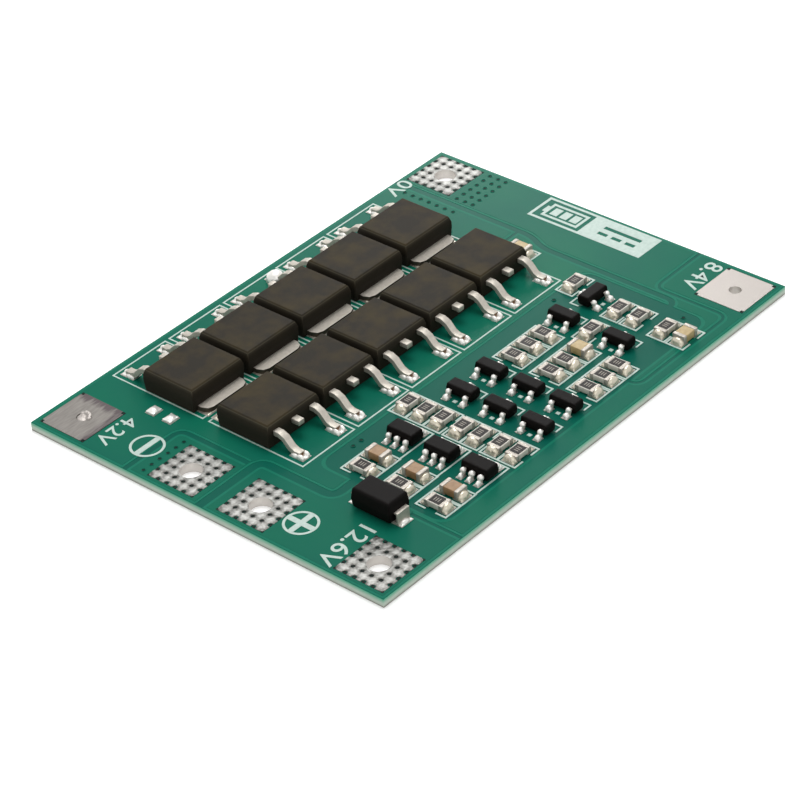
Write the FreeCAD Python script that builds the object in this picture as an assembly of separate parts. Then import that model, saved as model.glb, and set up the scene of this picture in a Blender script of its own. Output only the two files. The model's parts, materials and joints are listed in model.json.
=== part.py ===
import FreeCAD, Part
import math
import os

# Battery management board for a three-cell pack, in millimetres. X runs along the board, Y across it
# and Z up, with the origin under the middle of the board's underside.

# Board, plating and solder
board_thickness = 0.85
land_thickness = 0.08
barrel_wall = 0.1
barrel_sides = 16

# Terminal lands, one at each corner and two for the load on the short edge between them
power_hole_radius = 1.05
sense_hole_radius = 0.6
terminal_margin = 1.6
terminal_inset = 0.6
load_terminal_offset = 4.05

# Plated holes that perforate the power lands, and mark the corners of the sense lands
via_size = 0.36
via_rows = 6
via_edge_inset = 0.12
via_web = 0.15

# Power transistors, in two rows that stand tab to tab
mosfets_per_row = 5
mosfet_gap = 0.58
tab_to_tab_gap = 0.6
bank_left_clearance = 3.49
bank_right_clearance = 5.39
bank_back_clearance = 1.31
bank_front_clearance = 1.23
mosfet_width = 6.6
mosfet_length = 6.1
mosfet_height = 2.3
mosfet_top_draft = 0.2
mosfet_bottom_draft = 0.08
mosfet_edge = 0.12
mosfet_lead_pitch = 2.3
mosfet_lead_width = 0.72
mosfet_lead_thickness = 0.5
mosfet_lead_underside = 1.15
mosfet_lead_shelf = 0.9
mosfet_lead_ramp = 1.1
mosfet_lead_foot = 0.95
mosfet_lead_bend = 0.32
tab_width = 5.4
tab_reach = 1.15
tab_thickness = 0.5
tab_corner_long = 0.8
tab_corner_short = 0.25
tab_under_body = 4.6
stub_length = 0.9

# Lands under the power transistors
mosfet_land_margin = 0.2
mosfet_land_toe = 0.54
mosfet_land_heel = 0.15
tab_land_margin = 0.15

# Solder at the power transistors' feet
fillet_height = 0.35
fillet_length = 0.42
blob_radius = 0.95
blob_height = 1.15
blob_sides = 9
blob_rises = (0, 32, 66)

# Small moulded parts: the protection circuits have six leads and the transistors three
body_standoff = 0.08
small_lead_thickness = 0.15
small_lead_pitch = 0.95
small_lead_shelf = 0.14
small_lead_ramp = 0.16
small_lead_foot = 0.28
small_draft = 0.06
small_edge = 0.05
small_land_toe = 0.38
small_land_heel = 0.12
small_land_margin = 0.1
circuit_length = 2.9
circuit_width = 1.6
circuit_height = 1.1
circuit_lead_width = 0.4
transistor_length = 2.9
transistor_width = 1.3
transistor_height = 1.0
transistor_lead_width = 0.45
small_lead_underside = 0.5

# Rectifier diode, with two leads that fold under its body
diode_length = 4.3
diode_width = 2.6
diode_height = 2.0
diode_draft = 0.12
diode_edge = 0.1
diode_lead_width = 1.5
diode_lead_thickness = 0.2
diode_lead_reach = 0.42
diode_lead_fold = 0.95
diode_lead_rise = 1.1
diode_land_toe = 0.4
diode_land_heel = 0.15

# Chip resistors and capacitors
chip_length = 2.0
chip_width = 1.25
chip_end = 0.4
chip_end_lip = 0.03
resistor_height = 0.55
capacitor_height = 0.8
chip_land_toe = 0.5
chip_land_heel = 0.15
chip_land_margin = 0.05

# Places of the small parts: three cell channels lie side by side, each with like parts in a row along X.
# X is from the middle of the board and Y from the middle channel, unless a name says otherwise.
channel_count = 3
channel_pitch = 4.17
channel_front_inset = 8.63
input_resistor_x = -15.9
input_capacitor_x = -13.85
circuit_x = -10.35
transistor_columns = (-2.5, 1.45)
pair_columns = (4.5, 6.6)
third_column_x = 8.7
resistor_stack_x = -6.45
resistor_stack_pitch = 1.97
output_transistor_x = 11.73
output_y = -2.03
output_resistor_place = (11.8, 1.12)
sense_x = 15.93
sense_resistor_places = ((16.95, 7.02), (sense_x, 1.12), (sense_x, -1.03), (sense_x, -4.13))
sense_capacitor_place = (sense_x, -6.23)
diode_clearance = 1.5
diode_to_resistors = 1.475
diode_y = -0.83
side_capacitor_clearance = 0.965
side_capacitor_back = 5.45
spare_land_pitch = 2.05
spare_land_size = (1.25, 1.05)
spare_land_clearance = 1.075
spare_land_back = 5.52

# The power transistors' bank
seat = board_thickness + land_thickness
mosfet_pitch = mosfet_width + mosfet_gap
mosfet_row_offset = mosfet_length / 2 + tab_reach + tab_to_tab_gap / 2
mosfet_lead_reach = mosfet_lead_shelf + mosfet_lead_ramp + mosfet_lead_foot
bank_length = (mosfets_per_row - 1) * mosfet_pitch + mosfet_width
bank_depth = 2 * (mosfet_row_offset + mosfet_length / 2 + mosfet_lead_reach + mosfet_land_toe)

# The board is as large as the bank, the small parts in front of it and the terminals at its ends need
terminal_size = 2 * (power_hole_radius + terminal_margin)
stack_reach = channel_pitch + 1.5 * resistor_stack_pitch + chip_width / 2
bank_room = bank_left_clearance + bank_length + bank_right_clearance
diode_room = diode_clearance + diode_width + diode_to_resistors
small_part_reach = diode_room + chip_width / 2 - input_resistor_x
board_length = 2 * (terminal_inset + terminal_size) + max(2 * small_part_reach, bank_room)
board_width = channel_front_inset + stack_reach + bank_front_clearance + bank_depth + bank_back_clearance

# Places that follow from the board
terminal_x = board_length / 2 - terminal_inset - terminal_size / 2
terminal_y = board_width / 2 - terminal_inset - terminal_size / 2
terminal_edge_x = -terminal_x + terminal_size / 2
mosfet_bank_x = (bank_left_clearance - bank_right_clearance) / 2
mosfet_bank_y = board_width / 2 - bank_back_clearance - bank_depth / 2
channel_middle_y = channel_front_inset - board_width / 2
channels = [channel_middle_y + (1 - k) * channel_pitch for k in range(channel_count)]
diode_place = (terminal_edge_x + diode_clearance + diode_width / 2, channel_middle_y + diode_y)
side_capacitor_x = mosfet_bank_x + (bank_length + chip_width) / 2 + side_capacitor_clearance
side_capacitor_y = mosfet_bank_y - side_capacitor_back
spare_x = terminal_edge_x + spare_land_clearance + spare_land_size[0] / 2
spare_y = terminal_y - spare_land_back

# Each terminal: place, radius of its wire hole, and whether its land is perforated
terminals = {
    "load_minus_terminal": (-terminal_x, load_terminal_offset, power_hole_radius, True),
    "load_plus_terminal": (-terminal_x, -load_terminal_offset, power_hole_radius, True),
    "cell_12v6_terminal": (-terminal_x, -terminal_y, power_hole_radius, True),
    "cell_4v2_terminal": (-terminal_x, terminal_y, sense_hole_radius, False),
    "cell_0v_terminal": (terminal_x, terminal_y, power_hole_radius, True),
    "cell_8v4_terminal": (terminal_x, -terminal_y, sense_hole_radius, False),
}


def block(x, y, z, dx, dy, dz):
    """A box centred on x and y, with its underside at z."""
    return Part.makeBox(dx, dy, dz, FreeCAD.Vector(x - dx / 2, y - dy / 2, z))


def rectangle(dx, dy, z, x=0, y=0):
    """A closed wire of a rectangle centred on x and y, at height z."""
    corners = [(-dx, -dy), (dx, -dy), (dx, dy), (-dx, dy), (-dx, -dy)]
    return Part.makePolygon([FreeCAD.Vector(x + u / 2, y + v / 2, z) for u, v in corners])


def polygon_wire(x, y, z, radius, sides):
    """A closed wire of a regular polygon about x, y."""
    turns = [2 * math.pi * k / sides for k in range(sides + 1)]
    return Part.makePolygon(
        [FreeCAD.Vector(x + radius * math.cos(a), y + radius * math.sin(a), z) for a in turns]
    )


def prism(wire, height):
    """A flat wire raised into a solid."""
    return Part.Face(wire).extrude(FreeCAD.Vector(0, 0, height))


def placed(shape, x, y, turn=0):
    """A copy of a part that was made about the origin, turned about Z and set on its lands."""
    copy = shape.copy()
    copy.rotate(FreeCAD.Vector(0, 0, 0), FreeCAD.Vector(0, 0, 1), turn)
    copy.translate(FreeCAD.Vector(x, y, seat))
    return copy


def spread(count, pitch):
    """Places along a line, centred on zero."""
    return [(k - (count - 1) / 2) * pitch for k in range(count)]


def moulded_body(dx, dy, low, band_low, band_high, high, bottom_draft, top_draft, edge):
    """A moulded case: it widens to a straight band that the leads leave, and narrows to a softened top."""
    slope = top_draft / (high - band_high)
    shoulder = high - edge
    shoulder_inset = slope * (shoulder - band_high)
    sections = [
        rectangle(dx - 2 * bottom_draft, dy - 2 * bottom_draft, low),
        rectangle(dx, dy, band_low),
        rectangle(dx, dy, band_high),
        rectangle(dx - 2 * shoulder_inset, dy - 2 * shoulder_inset, shoulder),
        rectangle(dx - 2 * (shoulder_inset + edge), dy - 2 * (shoulder_inset + edge), high),
    ]
    return Part.makeLoft(sections, True, True)


def eased(route, bend):
    """The route with each bend cut short by the same length on both sides, so that it turns in two steps."""
    points = [FreeCAD.Vector(0, y, z) for y, z in route]
    soft = points[:1]
    for before, corner, after in zip(points, points[1:], points[2:]):
        soft += [corner + (other - corner).normalize() * bend for other in (before, after)]
    return soft + points[-1:]


def bent_strip(route, thickness, width, x=0, bend=0):
    """A metal strip of constant thickness that follows a route in Y and Z."""
    points = eased(route, bend) if bend else [FreeCAD.Vector(0, y, z) for y, z in route]
    across = FreeCAD.Vector(1, 0, 0)
    normals = [(b - a).normalize().cross(across) for a, b in zip(points, points[1:])]
    mitres = [normals[0]]
    for before, after in zip(normals, normals[1:]):
        middle = (before + after).normalize()
        mitres.append(middle * (1 / middle.dot(before)))
    mitres.append(normals[-1])
    half = thickness / 2
    one_side = [p + m * half for p, m in zip(points, mitres)]
    other_side = [p - m * half for p, m in zip(points, mitres)]
    outline = one_side + other_side[::-1]
    face = Part.Face(Part.makePolygon(outline + outline[:1]))
    face.translate(FreeCAD.Vector(x - width / 2, 0, 0))
    return face.extrude(across * width)


def gull_wing(start, shelf, ramp, foot, underside, thickness, width, x=0, bend=0):
    """A lead that leaves a case level at -Y, slopes down and ends in a flat foot on the land."""
    high = underside + thickness / 2
    low = thickness / 2
    knee = -start - shelf
    route = [(-start, high), (knee, high), (knee - ramp, low), (knee - ramp - foot, low)]
    return bent_strip(route, thickness, width, x, bend)


def via_places(x, y, hole_radius, perforated, whole_only=False):
    """Centres of the small plated holes in one terminal land. Those on its edge are only notches in it."""
    span = terminal_size - 2 * via_edge_inset
    rows = via_rows if perforated else 2
    steps = spread(rows, span / (rows - 1))
    if whole_only:
        steps = [u for u in steps if abs(u) < (terminal_size - via_size) / 2]
    middle = hole_radius + via_web
    return [(x + u, y + v) for u in steps for v in steps if max(abs(u), abs(v)) > middle]


def circuit_board():
    """The laminate, with a hole for each terminal's barrel and for each whole plated hole in its land."""
    holes = []
    for x, y, hole_radius, perforated in terminals.values():
        holes.append(polygon_wire(x, y, 0, hole_radius + barrel_wall, barrel_sides))
        for u, v in via_places(x, y, hole_radius, perforated, whole_only=True):
            holes.append(rectangle(via_size, via_size, 0, u, v))
    return prism([rectangle(board_length, board_width, 0)] + holes, board_thickness)


def terminal(x, y, hole_radius, perforated):
    """A square tinned land on the board, and the plated barrel that lines its wire hole."""
    plate = block(x, y, board_thickness, terminal_size, terminal_size, land_thickness)
    barrel = prism(polygon_wire(x, y, 0, hole_radius + barrel_wall, barrel_sides), board_thickness)
    vias = [
        block(u, v, board_thickness, via_size, via_size, land_thickness)
        for u, v in via_places(x, y, hole_radius, perforated)
    ]
    wire_hole = Part.makeCylinder(hole_radius, seat, FreeCAD.Vector(x, y, 0))
    return plate.fuse(barrel).cut(vias + [wire_hole])


def mosfet_leads():
    """The lead frame after trimming: the drain tab, its cut centre stub and the two formed leads."""
    half = tab_width / 2
    end = mosfet_length / 2 + tab_reach
    start = mosfet_length / 2 - tab_under_body
    corner = [(half, end - tab_corner_long), (half - tab_corner_short, end - tab_corner_short),
              (half - tab_corner_long, end)]
    outline = [(-half, start), (half, start)] + corner + [(-x, y) for x, y in corner[::-1]]
    tab = prism(Part.makePolygon([FreeCAD.Vector(x, y, 0) for x, y in outline + outline[:1]]), tab_thickness)
    stub = block(0, -(mosfet_length + stub_length) / 2, mosfet_lead_underside,
                 mosfet_lead_width, stub_length, mosfet_lead_thickness)
    formed = [
        gull_wing(mosfet_length / 2, mosfet_lead_shelf, mosfet_lead_ramp, mosfet_lead_foot,
                  mosfet_lead_underside, mosfet_lead_thickness, mosfet_lead_width, x,
                  mosfet_lead_bend)
        for x in (-mosfet_lead_pitch, mosfet_lead_pitch)
    ]
    return [tab, stub] + formed


def mosfet_body(tab):
    """The moulded case, closed around the part of the tab that it stands on."""
    case = moulded_body(
        mosfet_width, mosfet_length, 0, mosfet_lead_underside,
        mosfet_lead_underside + mosfet_lead_thickness, mosfet_height,
        mosfet_bottom_draft, mosfet_top_draft, mosfet_edge,
    )
    return case.cut(tab)


def land(x, y, dx, dy):
    """A tinned land centred on x, y, just under the level that the parts sit on."""
    return block(x, y, -land_thickness, dx, dy, land_thickness)


def mosfet_lands():
    """The large land under the tab and one land under each foot."""
    tab_end = mosfet_length / 2 + tab_reach + tab_land_margin
    tab_start = mosfet_length / 2 - tab_under_body
    tab_land = land(0, (tab_end + tab_start) / 2, tab_width + 2 * tab_land_margin, tab_end - tab_start)
    toe = -mosfet_length / 2 - mosfet_lead_reach - mosfet_land_toe
    heel = -mosfet_length / 2 - mosfet_lead_reach + mosfet_lead_foot + mosfet_land_heel
    width = mosfet_lead_width + 2 * mosfet_land_margin
    feet = [land(x, (toe + heel) / 2, width, heel - toe) for x in (-mosfet_lead_pitch, mosfet_lead_pitch)]
    return [tab_land] + feet


def toe_fillet(x):
    """Solder that runs from the end of a power transistor's foot down onto its land."""
    tip = -mosfet_length / 2 - mosfet_lead_reach
    corners = [(tip, 0), (tip, fillet_height), (tip - fillet_length, 0), (tip, 0)]
    left = x - mosfet_lead_width / 2
    face = Part.Face(Part.makePolygon([FreeCAD.Vector(left, y, z) for y, z in corners]))
    return face.extrude(FreeCAD.Vector(mosfet_lead_width, 0, 0))


def solder_blob(x, leads):
    """A heap of excess solder over one foot and the lower part of its lead."""
    y = -mosfet_length / 2 - mosfet_lead_reach + mosfet_lead_foot / 2
    sections = [
        polygon_wire(x, y, blob_height * math.sin(math.radians(rise)),
                     blob_radius * math.cos(math.radians(rise)), blob_sides)
        for rise in blob_rises
    ]
    return Part.makeLoft(sections, True, True).cut(leads)


def lead_ends(width, lead_width, places):
    """Gull-wing leads of a small moulded part. Each place is (x, side), side -1 for the -Y edge."""
    leads = []
    for x, side in places:
        lead = gull_wing(width / 2, small_lead_shelf, small_lead_ramp, small_lead_foot,
                         small_lead_underside, small_lead_thickness, lead_width)
        if side > 0:
            lead.rotate(FreeCAD.Vector(0, 0, 0), FreeCAD.Vector(0, 0, 1), 180)
        lead.translate(FreeCAD.Vector(x, 0, 0))
        leads.append(lead)
    return leads


def small_body(length, width, height):
    """The moulded case of a small part, a little clear of the board, with a band for its leads."""
    return moulded_body(
        length, width, body_standoff, small_lead_underside,
        small_lead_underside + small_lead_thickness, height + body_standoff,
        small_draft, small_draft, small_edge,
    )


def small_lands(width, lead_width, places):
    """One land under each foot of a small moulded part."""
    reach = width / 2 + small_lead_shelf + small_lead_ramp + small_lead_foot
    toe = reach + small_land_toe
    heel = reach - small_lead_foot - small_land_heel
    return [
        land(x, side * (toe + heel) / 2, lead_width + 2 * small_land_margin, toe - heel)
        for x, side in places
    ]


def diode_leads():
    """Two strips that leave the case level, turn down its ends and fold under it."""
    high = diode_lead_rise
    low = diode_lead_thickness / 2
    edge = diode_length / 2
    out = edge + diode_lead_reach - low
    route = [(-edge, high), (-out, high), (-out, low), (-out + diode_lead_fold, low)]
    near = bent_strip(route, diode_lead_thickness, diode_lead_width)
    far = near.copy()
    far.rotate(FreeCAD.Vector(0, 0, 0), FreeCAD.Vector(0, 0, 1), 180)
    return [near, far]


def diode_body():
    """The moulded case, which stands on the folded feet of its leads."""
    half = diode_lead_thickness / 2
    return moulded_body(
        diode_width, diode_length, diode_lead_thickness, diode_lead_rise - half,
        diode_lead_rise + half, diode_height + diode_lead_thickness,
        diode_draft, diode_draft, diode_edge,
    )


def diode_lands():
    """One land under each folded foot."""
    toe = diode_length / 2 + diode_lead_reach + diode_land_toe
    heel = diode_length / 2 + diode_lead_reach - diode_lead_fold - diode_land_heel
    return [land(0, side * (toe + heel) / 2, diode_lead_width, toe - heel) for side in (-1, 1)]


def chip_body(height):
    """The ceramic between the ends of a chip part."""
    return block(0, 0, chip_end_lip, chip_length - 2 * chip_end, chip_width, height - chip_end_lip)


def chip_ends(height):
    """The two plated ends, which stand a little proud of the ceramic."""
    middle = (chip_length - chip_end) / 2
    width = chip_width + 2 * chip_end_lip
    return [block(x, 0, 0, chip_end, width, height + chip_end_lip) for x in (-middle, middle)]


def chip_lands():
    """One land under each end of a chip part."""
    toe = chip_length / 2 + chip_land_toe
    heel = chip_length / 2 - chip_end - chip_land_heel
    width = chip_width + 2 * chip_land_margin
    return [land(side * (toe + heel) / 2, 0, toe - heel, width) for side in (-1, 1)]


def group(shapes):
    """Separate solids that share one file."""
    return Part.makeCompound(shapes)


def save(name, shape):
    """One STEP file for one node."""
    shape.exportStep(os.path.join("parts", name + ".step"))


os.makedirs("parts", exist_ok=True)
lands = []
solder = []

# The board and its terminals
save("circuit_board", circuit_board())
for name, (x, y, hole_radius, perforated) in terminals.items():
    save(name, terminal(x, y, hole_radius, perforated))

# Power transistors: the front row's leads point to -Y, the back row is turned round
leads = mosfet_leads()
body = mosfet_body(leads[0])
blob_column = mosfets_per_row // 2
for row, turn in (("front", 0), ("back", 180)):
    side = 1 if turn else -1
    y = mosfet_bank_y + side * mosfet_row_offset
    for column, step in enumerate(spread(mosfets_per_row, mosfet_pitch)):
        x = mosfet_bank_x + step
        name = f"mosfet_{row}_{column + 1}"
        save(name + "_body", placed(body, x, y, turn))
        save(name + "_leads", placed(group(leads), x, y, turn))
        lands += [placed(shape, x, y, turn) for shape in mosfet_lands()]
        heaped = row == "back" and column == blob_column
        joints = [toe_fillet(mosfet_lead_pitch)]
        joints.append(solder_blob(-mosfet_lead_pitch, leads) if heaped else toe_fillet(-mosfet_lead_pitch))
        solder += [placed(shape, x, y, turn) for shape in joints]

# Protection circuits: three leads on each long side
circuit_leads = [(x, side) for side in (-1, 1) for x in spread(3, small_lead_pitch)]
for k, y in enumerate(channels):
    case = small_body(circuit_length, circuit_width, circuit_height)
    formed = lead_ends(circuit_width, circuit_lead_width, circuit_leads)
    save(f"protection_circuit_{k + 1}_body", placed(case, circuit_x, y, -90))
    save(f"protection_circuit_{k + 1}_leads", placed(group(formed), circuit_x, y, -90))
    feet = small_lands(circuit_width, circuit_lead_width, circuit_leads)
    lands += [placed(shape, circuit_x, y, -90) for shape in feet]

# Small transistors: two leads on one long side and one on the other
transistor_leads = [(-small_lead_pitch, -1), (small_lead_pitch, -1), (0, 1)]
transistor_places = [(x, y, -90) for y in channels for x in transistor_columns]
transistor_places += [
    (output_transistor_x, channels[0], -90),
    (output_transistor_x, channel_middle_y + output_y, -90),
    (sense_x, channels[0], 0),
]
for k, (x, y, turn) in enumerate(transistor_places):
    case = small_body(transistor_length, transistor_width, transistor_height)
    formed = lead_ends(transistor_width, transistor_lead_width, transistor_leads)
    save(f"transistor_{k + 1}_body", placed(case, x, y, turn))
    save(f"transistor_{k + 1}_leads", placed(group(formed), x, y, turn))
    feet = small_lands(transistor_width, transistor_lead_width, transistor_leads)
    lands += [placed(shape, x, y, turn) for shape in feet]

# Rectifier diode
save("diode_body", placed(diode_body(), *diode_place))
save("diode_leads", placed(group(diode_leads()), *diode_place))
lands += [placed(shape, *diode_place) for shape in diode_lands()]

# Chip parts: each place is (x, y, turn), turn 90 where the chip lies along Y
stack = [y + side * resistor_stack_pitch / 2 for y in channels for side in (1, -1)]
resistor_places = [(resistor_stack_x, y, 0) for y in [stack[0] + resistor_stack_pitch] + stack]
resistor_places += [(x, y, 90) for y in channels for x in (input_resistor_x, *pair_columns)]
resistor_places += [(third_column_x, channels[0], 90), (third_column_x, channels[-1], 90)]
sense_places = (output_resistor_place, *sense_resistor_places)
resistor_places += [(x, channel_middle_y + y, 0) for x, y in sense_places]
capacitor_places = [(input_capacitor_x, y, 90) for y in channels]
capacitor_places += [
    (third_column_x, channel_middle_y, 90),
    (sense_capacitor_place[0], channel_middle_y + sense_capacitor_place[1], 0),
    (side_capacitor_x, side_capacitor_y, 90),
]
for kind, height, places in (
    ("resistor", resistor_height, resistor_places),
    ("capacitor", capacitor_height, capacitor_places),
):
    save(kind + "_bodies", group([placed(chip_body(height), *place) for place in places]))
    save(kind + "_ends", group([placed(end, *place) for place in places for end in chip_ends(height)]))
    lands += [placed(shape, *place) for place in places for shape in chip_lands()]

# Two bare lands for a chip part that isn't fitted
for step in spread(2, spare_land_pitch):
    lands.append(placed(land(0, step, *spare_land_size), spare_x, spare_y))

save("solder_lands", group(lands))
save("solder_joints", group(solder))
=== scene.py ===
import json
import math

import bmesh
import bpy
from mathutils import Matrix, Vector

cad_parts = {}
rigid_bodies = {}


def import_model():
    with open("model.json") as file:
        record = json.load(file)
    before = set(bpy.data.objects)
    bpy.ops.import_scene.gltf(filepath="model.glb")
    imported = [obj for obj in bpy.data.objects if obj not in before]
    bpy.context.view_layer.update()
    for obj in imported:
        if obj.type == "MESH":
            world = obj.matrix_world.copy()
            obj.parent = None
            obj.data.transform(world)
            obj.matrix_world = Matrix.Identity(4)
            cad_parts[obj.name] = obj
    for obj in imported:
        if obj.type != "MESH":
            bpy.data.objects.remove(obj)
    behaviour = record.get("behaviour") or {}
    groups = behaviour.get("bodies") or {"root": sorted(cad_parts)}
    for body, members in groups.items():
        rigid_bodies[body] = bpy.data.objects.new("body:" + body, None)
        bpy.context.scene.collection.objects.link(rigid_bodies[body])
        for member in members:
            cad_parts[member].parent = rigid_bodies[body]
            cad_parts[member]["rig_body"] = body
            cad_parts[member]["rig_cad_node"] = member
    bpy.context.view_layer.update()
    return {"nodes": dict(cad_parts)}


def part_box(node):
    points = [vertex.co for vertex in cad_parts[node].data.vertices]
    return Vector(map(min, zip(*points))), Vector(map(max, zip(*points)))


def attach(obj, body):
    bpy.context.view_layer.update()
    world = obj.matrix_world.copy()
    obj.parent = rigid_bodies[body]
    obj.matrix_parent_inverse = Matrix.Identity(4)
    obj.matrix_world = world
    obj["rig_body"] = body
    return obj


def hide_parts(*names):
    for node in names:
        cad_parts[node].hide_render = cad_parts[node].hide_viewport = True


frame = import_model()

# The board is sheets of woven glass in epoxy, pressed with copper on both faces and routed from a larger
# panel. Its faces are coated with green solder mask, and its cut edges show the bare pale laminate.
MM = 0.001
nodes = frame["nodes"]


def limits(name):
    """The lowest and the highest corner of a CAD node, in millimetres."""
    return [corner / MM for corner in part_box(name)]


board_low, board_high = limits("circuit_board")
board_top = board_high.z


def linear(colour):
    """A linear colour with alpha from an sRGB hex value."""
    channels = [int(colour[k:k + 2], 16) / 255 for k in (1, 3, 5)]
    return [c / 12.92 if c <= 0.04045 else ((c + 0.055) / 1.055) ** 2.4 for c in channels] + [1.0]


def feed(tree, target, inputs):
    """Sets a node's inputs. Each is a value, an output, or a node, whose first output in use is linked."""
    for key, value in inputs.items():
        if isinstance(value, bpy.types.Node):
            value = next(output for output in value.outputs if output.enabled)
        if isinstance(value, bpy.types.NodeSocket):
            tree.links.new(value, target.inputs[key])
        else:
            target.inputs[key].default_value = value


def node(tree, kind, inputs, **settings):
    """Adds one node with its settings and its inputs."""
    made = tree.nodes.new("ShaderNode" + kind)
    for key, value in settings.items():
        setattr(made, key, value)
    feed(tree, made, inputs)
    return made


def surface(name, colour, roughness, metallic=0.0, specular=0.5):
    """A material with plain values on the shader's own sockets, with its node tree and its shader."""
    made = bpy.data.materials.new(name)
    made.use_nodes = True
    shader = made.node_tree.nodes["Principled BSDF"]
    feed(made.node_tree, shader, {"Base Color": linear(colour), "Roughness": roughness,
                                  "Metallic": metallic, "Specular IOR Level": specular})
    return made, made.node_tree, shader


def coat(piece, material):
    """Gives a piece one material all over."""
    if piece.material_slots:
        piece.material_slots[0].material = material
    else:
        piece.data.materials.append(material)


# Liquid photo-imaged solder mask gives an even satin skin, a little cloudy over the glass cloth. The sawn
# The sawn edge is pale and matte, with a grain along the layers of cloth, darker towards the bottom, and a
# green lip of mask.
cloud_size = 9
edge_grain = 1.2
edge_layers = 14
foot_low, foot_high = 0.02, 0.22
lip_low, lip_high = 0.4, 0.84
mask_on_laminate, tree, shader = surface("solder mask on glass laminate", "#095A4C", 0.36, specular=0.05)
places = node(tree, "TexCoord", {}).outputs["Object"]
height = node(tree, "SeparateXYZ", {"Vector": places}).outputs["Z"]
facing = node(tree, "SeparateXYZ", {"Vector": node(tree, "NewGeometry", {}).outputs["Normal"]}).outputs["Z"]
upright = node(tree, "Math", {0: facing}, operation="ABSOLUTE")
is_face = node(tree, "Math", {0: upright, 1: 0.5}, operation="GREATER_THAN")
layers = node(tree, "Mapping", {"Vector": places, "Scale": (1, 1, edge_layers)})
grain = node(tree, "TexNoise", {"Vector": layers, "Scale": 1 / (edge_grain * MM), "Detail": 5})
pale = node(tree, "Mix", {0: grain, 6: linear("#A6B8AA"), 7: linear("#D3DDD1")}, data_type="RGBA")
foot = node(tree, "MapRange", {"Value": height, "From Min": foot_low * MM, "From Max": foot_high * MM})
raw = node(tree, "Mix", {0: foot, 6: linear("#8E8880"), 7: pale}, data_type="RGBA")
lip = node(tree, "MapRange", {"Value": height, "From Min": lip_low * MM, "From Max": lip_high * MM})
edge = node(tree, "Mix", {0: lip, 6: raw, 7: linear("#50AC8C")}, data_type="RGBA")
cloudy = node(tree, "TexNoise", {"Vector": places, "Scale": 1 / (cloud_size * MM), "Detail": 2})
mask = node(tree, "Mix", {0: cloudy, 6: linear("#055246"), 7: linear("#07604F")}, data_type="RGBA")
colour = node(tree, "Mix", {0: is_face, 6: edge, 7: mask}, data_type="RGBA")
rough = node(tree, "MapRange", {"Value": is_face, "To Min": 0.75, "To Max": 0.34})
feed(tree, shader, {"Base Color": colour, "Roughness": rough})
coat(nodes["circuit_board"], mask_on_laminate)

# Copper pours lie under the mask and stand a little above the bare laminate. Bands etched between them show
# darker, with a light line along each edge, where the mask runs thin over the edge of the copper.
pour_inset = 0.05
pour_height = 0.035
rim_height = 0.02
rim_width = 0.26
band_bend = 1.1
pour_top = board_top + pour_height
terminal_margin = 0.02
cutter_reach = 1

# The middle line and the width of each etched band, and the region without copper round the small parts
bands = [
    ([(-29.0, 8.95), (-21.0, 8.95), (-21.0, 0.9)], 0.5),
    ([(-29.0, 0.15), (-20.2, 0.15), (-20.2, -8.2), (-17.0, -8.2)], 0.85),
    ([(21.15, 21.0), (21.15, 3.6), (20.15, 1.6), (20.15, -14.0), (17.6, -14.0)], 0.6),
    ([(21.0, 5.15), (17.6, 5.15)], 0.3),
    ([(29.0, -11.0), (20.95, -11.0), (20.95, -19.1), (7.7, -19.1), (7.7, -17.5)], 0.3),
    ([(-18.1, -15.0), (-18.1, -21.0)], 0.3),
]
bare_region = (-17.5, 19.3, -18.1, -4.1)
bare_region_bend = 1.4


def pick(*pieces):
    """Selects only these pieces and makes the first one active."""
    bpy.ops.object.select_all(action="DESELECT")
    for piece in pieces:
        piece.select_set(True)
    bpy.context.view_layer.objects.active = pieces[0]


def settle(piece):
    """Puts a piece's place, turn and size into its mesh, with its object at the origin."""
    pick(piece)
    bpy.ops.object.transform_apply(location=True, rotation=True, scale=True)
    return piece


def begun(add, **settings):
    """The object that an operator adds, with nothing else selected."""
    bpy.ops.object.select_all(action="DESELECT")
    add(**settings)
    return bpy.context.object


def slab(left, right, front, back, low, high):
    """A flat plate or bar between these limits, in millimetres."""
    middle = ((left + right) / 2 * MM, (front + back) / 2 * MM, (low + high) / 2 * MM)
    made = begun(bpy.ops.mesh.primitive_cube_add, size=1, location=middle)
    made.scale = ((right - left) * MM, (back - front) * MM, (high - low) * MM)
    return settle(made)


def rounded(corners, reach, steps=6):
    """The points of a path whose inner corners are curves that start at reach from the corner."""
    path = [Vector(corners[0])]
    for before, corner, after in zip(corners, corners[1:], corners[2:]):
        corner = Vector(corner)
        start = corner + (Vector(before) - corner).normalized() * reach
        end = corner + (Vector(after) - corner).normalized() * reach
        for k in range(steps + 1):
            t = k / steps
            path.append(start * (1 - t) ** 2 + corner * (2 * t * (1 - t)) + end * t ** 2)
    return path + [Vector(corners[-1])]


def rod(corners, width, reach, height):
    """A round rod along a path in X and Y, at one height, made from a curve."""
    made = begun(bpy.ops.curve.primitive_nurbs_path_add)
    made.data.splines.clear()
    path = rounded(corners, reach)
    line = made.data.splines.new("POLY")
    line.points.add(len(path) - 1)
    for point, place in zip(line.points, path):
        point.co = (place.x * MM, place.y * MM, height * MM, 1)
    made.data.bevel_depth = width / 2 * MM
    made.data.bevel_resolution = 2
    made.data.use_fill_caps = True
    bpy.ops.object.convert(target="MESH")
    return settle(bpy.context.object)


def joined(pieces, name):
    """Several pieces made into one, with its object at the origin."""
    pick(*pieces)
    bpy.ops.object.join()
    made = bpy.context.object
    made.name = made.data.name = name
    return settle(made)


def apply(piece, kind, **settings):
    """Adds one modifier with its settings and applies it."""
    pick(piece)
    made = piece.modifiers.new(kind, kind)
    for key, value in settings.items():
        setattr(made, key, value)
    bpy.ops.object.modifier_apply(modifier=made.name)


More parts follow.
